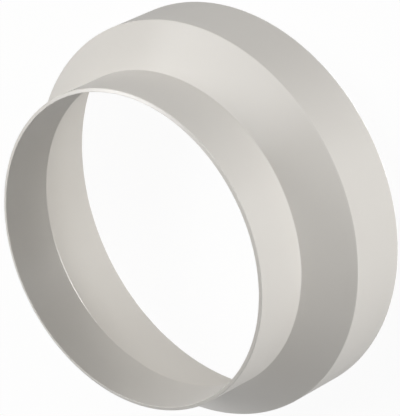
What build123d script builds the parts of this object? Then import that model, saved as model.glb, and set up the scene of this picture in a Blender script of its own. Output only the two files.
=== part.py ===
"""Duct reducer: a small sleeve, a cone and a large sleeve moulded as one open piece.

The part stands on the rim of its large sleeve. +Z runs along the duct to the small end.
"""

import os

from build123d import *

os.makedirs("parts", exist_ok=True)

# Driving dimensions, in millimetres
small_bore = 100.0  # inside diameter of the small sleeve
large_bore = 125.0  # inside diameter of the large sleeve
wall = 1.2  # wall, measured square to the axis
small_length = 18.5  # height of the small sleeve
cone_length = 11.5  # height of the cone
large_length = 19.5  # height of the large sleeve
bend_round = 0.5  # rounding where a sleeve meets the cone, inside and out

# Sizes that follow from them
rim_round = wall / 2  # rounding of each rim's outside edge, its inside edge stays square
small_inside = small_bore / 2
small_outside = small_inside + wall
large_inside = large_bore / 2
large_outside = large_inside + wall
cone_foot = large_length
cone_top = cone_foot + cone_length
small_rim = cone_top + small_length

with BuildPart() as reducer_body:
    # Half section through the wall, from the large rim up the outside and back down the inside
    with BuildSketch(Plane.XZ) as section:
        with BuildLine():
            Polyline(
                (large_inside, 0),
                (large_outside, 0),
                (large_outside, cone_foot),
                (small_outside, cone_top),
                (small_outside, small_rim),
                (small_inside, small_rim),
                (small_inside, cone_top),
                (large_inside, cone_foot),
                close=True,
            )
        make_face()
        # The four bends, then the outside corner of both rims
        bends = section.vertices().filter_by_position(Axis.Y, cone_foot, cone_top)
        fillet(bends, radius=bend_round)
        heights = section.vertices().group_by(Axis.Y)
        outside_corners = [rim.sort_by(Axis.X)[-1] for rim in (heights[0], heights[-1])]
        fillet(outside_corners, radius=rim_round)
    revolve(axis=Axis.Z)

reducer_body.part.label = "reducer_body"
export_step(reducer_body.part, "parts/reducer_body.step")
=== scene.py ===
import math

import bpy
import numpy as np
from mathutils import Matrix, Vector


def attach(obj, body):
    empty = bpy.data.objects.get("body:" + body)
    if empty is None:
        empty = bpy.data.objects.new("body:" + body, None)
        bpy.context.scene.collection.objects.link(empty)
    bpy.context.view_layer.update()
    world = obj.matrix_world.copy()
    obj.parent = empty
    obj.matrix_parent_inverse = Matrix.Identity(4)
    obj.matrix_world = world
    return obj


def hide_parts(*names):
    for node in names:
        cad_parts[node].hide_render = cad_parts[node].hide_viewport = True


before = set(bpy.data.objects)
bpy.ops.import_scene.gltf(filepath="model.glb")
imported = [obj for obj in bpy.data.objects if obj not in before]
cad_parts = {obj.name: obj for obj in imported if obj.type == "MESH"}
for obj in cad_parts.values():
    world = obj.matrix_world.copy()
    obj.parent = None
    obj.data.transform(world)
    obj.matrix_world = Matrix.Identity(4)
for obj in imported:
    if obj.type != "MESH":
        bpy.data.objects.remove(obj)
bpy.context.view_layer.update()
print("frame loaded with", sorted(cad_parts))

scene = bpy.context.scene
scene.view_settings.view_transform = "Standard"
mm = 0.001  # sizes are written in millimetres where no comment says metres, Blender's are metres
pureWhite = (1, 1, 1, 1)


def hexToLinear(code):
    # sRGB hex to the linear values that shader sockets take
    srgb = np.array([int(code[i:i + 2], 16) for i in (1, 3, 5)]) / 255
    linear = np.where(srgb <= 0.04045, srgb / 12.92, ((srgb + 0.055) / 1.055) ** 2.4)
    return (*linear.tolist(), 1.0)


def addNode(tree, kind, settings=None, links=None):
    # settings go to sockets by name or number, or to the node's own values, links bring other sockets in
    node = tree.nodes.new(kind)
    for name, value in (settings or {}).items():
        if isinstance(name, int) or name in node.inputs:
            node.inputs[name].default_value = value
        else:
            setattr(node, name, value)
    for name, source in (links or {}).items():
        tree.links.new(source, node.inputs[name])
    return node


def newMaterial(name):
    material = bpy.data.materials.new(name)
    material.use_nodes = True
    material.node_tree.nodes.clear()
    return material, material.node_tree


# Moulded shell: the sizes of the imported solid, with finer edges
shell = {
    "smallInside": 50.0,
    "largeInside": 62.5,
    "wall": 1.2,
    "coneFoot": 19.5,
    "coneTop": 31.0,
    "smallRim": 49.5,
    "rimRound": 0.3,  # the large rim's outside edge, crisper than the solid's
    "edgeSoftness": 0.12,  # the square inside edge of each rim, softened by the mould
    "endFall": 0.32,  # the small rim's end face falls outward by this much
    "endRound": 0.35,  # and turns into the sleeve with this rounding
    "bendRound": 0.5,
    "throatRound": 0.2,  # the inside bend at the cone's top, which shows as a crisp line
    "arcSteps": 8,
    "sideShares": (0.02, 0.06, 0.15, 0.3, 0.5, 0.7, 0.85, 0.94, 0.98),  # points along a straight side
    "around": 320,
}


def sectionLoop(corners, radii, arcSteps, sideShares):
    # Closed loop of section points: each corner becomes an arc that touches both its sides,
    # and each straight side gets points at the given shares of its length
    before = np.roll(corners, 1, axis=0)
    after = np.roll(corners, -1, axis=0)
    wayIn = (corners - before) / np.linalg.norm(corners - before, axis=1, keepdims=True)
    wayOut = (after - corners) / np.linalg.norm(after - corners, axis=1, keepdims=True)
    cross = wayIn[:, 0] * wayOut[:, 1] - wayIn[:, 1] * wayOut[:, 0]
    bend = np.arctan2(cross, (wayIn * wayOut).sum(axis=1))
    arcStart = corners - wayIn * (radii * np.tan(np.abs(bend) / 2))[:, None]
    leftOf = np.stack([-wayIn[:, 1], wayIn[:, 0]], axis=1)
    centre = arcStart + leftOf * (radii * np.sign(bend))[:, None]
    spoke = arcStart - centre
    angle = bend[:, None] * np.linspace(0, 1, arcSteps + 1)[None, :]
    arcs = centre[:, None, :] + np.stack(
        [
            spoke[:, :1] * np.cos(angle) - spoke[:, 1:] * np.sin(angle),
            spoke[:, :1] * np.sin(angle) + spoke[:, 1:] * np.cos(angle),
        ],
        axis=2,
    )
    sideStart = arcs[:, -1]
    sideEnd = np.roll(arcs[:, 0], -1, axis=0)
    between = np.array(sideShares)
    sides = sideStart[:, None, :] + (sideEnd - sideStart)[:, None, :] * between[None, :, None]
    return np.concatenate([arcs, sides], axis=1).reshape(-1, 2)


def revolveLoop(name, loop, around):
    # Surface of revolution: x = r cos(turn), y = r sin(turn), z = height, closed both ways
    turn = np.linspace(0, 2 * np.pi, around, endpoint=False)
    points = np.stack(
        [
            loop[:, :1] * np.cos(turn)[None, :],
            loop[:, :1] * np.sin(turn)[None, :],
            np.repeat(loop[:, 1:], around, axis=1),
        ],
        axis=2,
    )
    index = np.arange(points.shape[0] * around).reshape(points.shape[0], around)
    nextAlong = np.roll(index, -1, axis=0)
    quads = np.stack(
        [index, np.roll(index, -1, axis=1), np.roll(nextAlong, -1, axis=1), nextAlong],
        axis=2,
    )
    mesh = bpy.data.meshes.new(name)
    mesh.from_pydata(points.reshape(-1, 3), [], quads.reshape(-1, 4))
    mesh.polygons.foreach_set("use_smooth", np.ones(len(mesh.polygons), dtype=bool))
    mesh.update()
    piece = bpy.data.objects.new(name, mesh)
    scene.collection.objects.link(piece)
    return piece


def makeShell(s):
    smallOutside = s["smallInside"] + s["wall"]
    largeOutside = s["largeInside"] + s["wall"]
    soft, bend = s["edgeSoftness"], s["bendRound"]
    # radius, height and rounding of each corner, from the large rim up the outside and down the inside
    section = np.array(
        [
            (s["largeInside"], 0, soft),
            (largeOutside, 0, s["rimRound"]),
            (largeOutside, s["coneFoot"], bend),
            (smallOutside, s["coneTop"], bend),
            (smallOutside, s["smallRim"] - s["endFall"], s["endRound"]),
            (s["smallInside"], s["smallRim"], soft),
            (s["smallInside"], s["coneTop"], s["throatRound"]),
            (s["largeInside"], s["coneFoot"], bend),
        ]
    )
    loop = sectionLoop(section[:, :2], section[:, 2], s["arcSteps"], s["sideShares"])
    return revolveLoop("reducerShell", loop * mm, s["around"])


reducerShell = makeShell(shell)
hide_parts("reducer_body")
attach(reducerShell, "root")
print("shell made with", len(reducerShell.data.polygons), "faces")


# Injection-moulded ABS in warm off-white: an even, opaque body colour with hardly visible clouds
# under a satin skin, whose sheen breaks up a little where the mould was more worn. Sizes are the
# features' breadths. The mould's spark-eroded grain is about 0.05 mm in life and is drawn coarser
# here, because a picture point covers 0.3 mm.
plastic = {
    "colour": "#DCD9D3",
    "cloudColour": "#D9D5CF",
    "cloudSize": 24.0,
    "cloudDetail": 3,
    "sheenSize": 9.0,
    "sheenDetail": 4,
    "sheenSpan": (0.3, 0.7),  # the noise values between which the roughness runs
    "roughness": (0.30, 0.34),
    "grainSize": 0.6,
    "grainDetail": 2,
    "grainDepth": 0.002,
    "ior": 1.53,
}


def makeSatinPlastic(p):
    material, tree = newMaterial("satinMouldedAbs")
    place = {"Vector": addNode(tree, "ShaderNodeTexCoord").outputs["Object"]}
    cloudLook = {"Scale": 1 / (p["cloudSize"] * mm), "Detail": p["cloudDetail"]}
    cloudNoise = addNode(tree, "ShaderNodeTexNoise", cloudLook, place)
    # a colour mix takes its two colours in sockets 6 and 7 and gives the result in output 2
    clouds = addNode(
        tree,
        "ShaderNodeMix",
        {"data_type": "RGBA", 6: hexToLinear(p["colour"]), 7: hexToLinear(p["cloudColour"])},
        {0: cloudNoise.outputs["Fac"]},
    )
    sheenLook = {"Scale": 1 / (p["sheenSize"] * mm), "Detail": p["sheenDetail"]}
    sheenNoise = addNode(tree, "ShaderNodeTexNoise", sheenLook, place)
    low, high = p["sheenSpan"]
    smooth, rough = p["roughness"]
    sheen = addNode(
        tree,
        "ShaderNodeMapRange",
        {"From Min": low, "From Max": high, "To Min": smooth, "To Max": rough},
        {"Value": sheenNoise.outputs["Fac"]},
    )
    grainLook = {"Scale": 1 / (p["grainSize"] * mm), "Detail": p["grainDetail"]}
    grainNoise = addNode(tree, "ShaderNodeTexNoise", grainLook, place)
    grain = addNode(
        tree,
        "ShaderNodeBump",
        {"Strength": 1.0, "Distance": p["grainDepth"] * mm},
        {"Height": grainNoise.outputs["Fac"]},
    )
    body = addNode(
        tree,
        "ShaderNodeBsdfPrincipled",
        {"IOR": p["ior"]},
        {"Base Color": clouds.outputs[2], "Roughness": sheen.outputs[0], "Normal": grain.outputs[0]},
    )
    addNode(tree, "ShaderNodeOutputMaterial", links={"Surface": body.outputs["BSDF"]})
    return material


reducerShell.data.materials.append(makeSatinPlastic(plastic))
print("plastic made")


def whiteShare(tree, share, mirrorShare):
    # the share for what the camera sees straight or through glass, less of it in a reflection
    path = addNode(tree, "ShaderNodeLightPath").outputs
    larger = {"operation": "MAXIMUM"}
    mirrored = addNode(
        tree,
        "ShaderNodeMath",
        {"operation": "MULTIPLY", 1: mirrorShare},
        {0: path["Is Glossy Ray"]},
    )
    through = addNode(
        tree,
        "ShaderNodeMath",
        larger,
        {0: path["Is Transmission Ray"], 1: mirrored.outputs[0]},
    )
    seen = addNode(
        tree,
        "ShaderNodeMath",
        larger,
        {0: path["Is Camera Ray"], 1: through.outputs[0]},
    )
    scaled = addNode(
        tree,
        "ShaderNodeMath",
        {"operation": "MULTIPLY", 1: share},
        {0: seen.outputs[0]},
    )
    return scaled.outputs[0]


# Pale floor: white to the camera, with the shell's shadow faintly kept
floorLook = {
    "side": 6.0,  # metres
    "colour": "#F2F1EE",
    "shadowShare": 0.05,
}


def makeFloor(f):
    half = f["side"] / 2
    corners = [(-half, -half, 0), (half, -half, 0), (half, half, 0), (-half, half, 0)]
    mesh = bpy.data.meshes.new("paleFloor")
    mesh.from_pydata(corners, [], [(0, 1, 2, 3)])
    floor = bpy.data.objects.new("paleFloor", mesh)
    scene.collection.objects.link(floor)
    material, tree = newMaterial("paleFloorPaint")
    paint = addNode(tree, "ShaderNodeBsdfDiffuse", {"Color": hexToLinear(f["colour"])})
    white = addNode(tree, "ShaderNodeEmission", {"Color": pureWhite, "Strength": 1.0})
    shown = whiteShare(tree, 1 - f["shadowShare"], 1.0)
    blend = {0: shown, 1: paint.outputs[0], 2: white.outputs[0]}
    mix = addNode(tree, "ShaderNodeMixShader", links=blend)
    addNode(tree, "ShaderNodeOutputMaterial", links={"Surface": mix.outputs[0]})
    mesh.materials.append(material)
    # a thin translucent sheet: it shows, takes the shadow and lets the low lamps through
    for kind in ("diffuse", "glossy", "transmission", "shadow"):
        setattr(floor, "visible_" + kind, False)
    return floor


makeFloor(floorLook)
print("floor made")


# The photograph's view: focal length in picture points, the duct's axis in the picture in degrees,
# and the middle of the small rim before the camera, to its right, below its line of sight and away
cameraView = {
    "focalPoints": 3458.8,
    "picturePoints": 416,
    "sensor": 36.0,
    "axisTilt": 45.523,
    "axisRoll": 26.328,
    "rimCentre": (-21.368, 13.015, 1037.92),
    "rimHeight": shell["smallRim"],
    "nearest": 10.0,  # nothing nearer to the camera is drawn
}


def makeCamera(c):
    tilt, roll = math.radians(c["axisTilt"]), math.radians(c["axisRoll"])
    up = Vector((-math.sin(tilt) * math.cos(roll), -math.sin(tilt) * math.sin(roll), math.cos(tilt)))
    away = (up * math.cos(tilt) - Vector((0, 0, 1))) / math.sin(tilt)
    across = away.cross(up)
    turn = Matrix((across, away, up))  # from the camera's axes to the part's
    right, below, far = c["rimCentre"]
    origin = Vector((right, -below, -far)) - up * c["rimHeight"]
    camera = bpy.data.objects.new("photoCamera", bpy.data.cameras.new("photoCamera"))
    camera.data.sensor_width = c["sensor"]
    camera.data.lens = c["focalPoints"] * c["sensor"] / c["picturePoints"]
    camera.data.clip_start = c["nearest"] * mm
    camera.matrix_world = Matrix.Translation(turn @ -origin * mm) @ turn.to_4x4()
    scene.collection.objects.link(camera)
    scene.camera = camera


makeCamera(cameraView)
print("camera at", [round(v, 3) for v in scene.camera.location])


# Softboxes and strips round the part, all one metre away: azimuth from +X and elevation in
# degrees, sides in metres, roll in degrees. A light of 1 shows a white surface that faces the lamp
# as white. The floor lets the low ones through.
softboxes = {
    "longStrip": {"azimuth": -20, "elevation": 35, "sides": (1.5, 0.35), "roll": -25, "light": 0.45},
    "highSoftbox": {"azimuth": 35, "elevation": 55, "sides": (0.55, 0.3), "roll": -15, "light": 0.65},
    "sideStrip": {"azimuth": -145, "elevation": -5, "sides": (0.35, 0.75), "roll": -10, "light": 0.55},
    "lowStrip": {"azimuth": -80, "elevation": -15, "sides": (0.65, 0.3), "roll": 0, "light": 0.4},
    "lowSoftbox": {"azimuth": -105, "elevation": -25, "sides": (0.75, 0.7), "roll": -30, "light": 0.15},
    "tableLamp": {"azimuth": 80, "elevation": -80, "sides": (0.4, 0.4), "roll": 35, "light": 0.7},
    "backSoftbox": {"azimuth": 120, "elevation": -10, "sides": (1.4, 0.7), "roll": 0, "light": 0.2},
}
lampAim = Vector((0, 0, 25)) * mm  # the middle of the part


def makeSoftbox(name, s):
    azimuth, elevation = math.radians(s["azimuth"]), math.radians(s["elevation"])
    flat = math.cos(elevation)
    way = Vector((flat * math.cos(azimuth), flat * math.sin(azimuth), math.sin(elevation)))
    data = bpy.data.lights.new(name, "AREA")
    data.shape = "RECTANGLE"
    data.size, data.size_y = s["sides"]
    data.energy = math.pi ** 2 * s["light"]  # watts that light a white surface one metre away to 1
    lamp = bpy.data.objects.new(name, data)
    turn = way.to_track_quat("Z", "Y").to_matrix() @ Matrix.Rotation(math.radians(s["roll"]), 3, "Z")
    lamp.matrix_world = Matrix.Translation(way + lampAim) @ turn.to_4x4()
    lamp.visible_camera = False
    scene.collection.objects.link(lamp)


for name, settings in softboxes.items():
    makeSoftbox(name, settings)

# White walls, which the satin plastic mirrors at part strength, and a little light from all round
room = {"fill": 0.06, "mirrorShare": 0.35}


def makeRoom(r):
    world = bpy.data.worlds.new("studioRoom")
    scene.world = world
    world.use_nodes = True
    tree = world.node_tree
    tree.nodes.clear()
    fill = addNode(tree, "ShaderNodeBackground", {"Color": pureWhite, "Strength": r["fill"]})
    white = addNode(tree, "ShaderNodeBackground", {"Color": pureWhite, "Strength": 1.0})
    shown = whiteShare(tree, 1.0, r["mirrorShare"])
    blend = {0: shown, 1: fill.outputs[0], 2: white.outputs[0]}
    mix = addNode(tree, "ShaderNodeMixShader", links=blend)
    addNode(tree, "ShaderNodeOutputWorld", links={"Surface": mix.outputs[0]})


makeRoom(room)
print("lamps and room made")
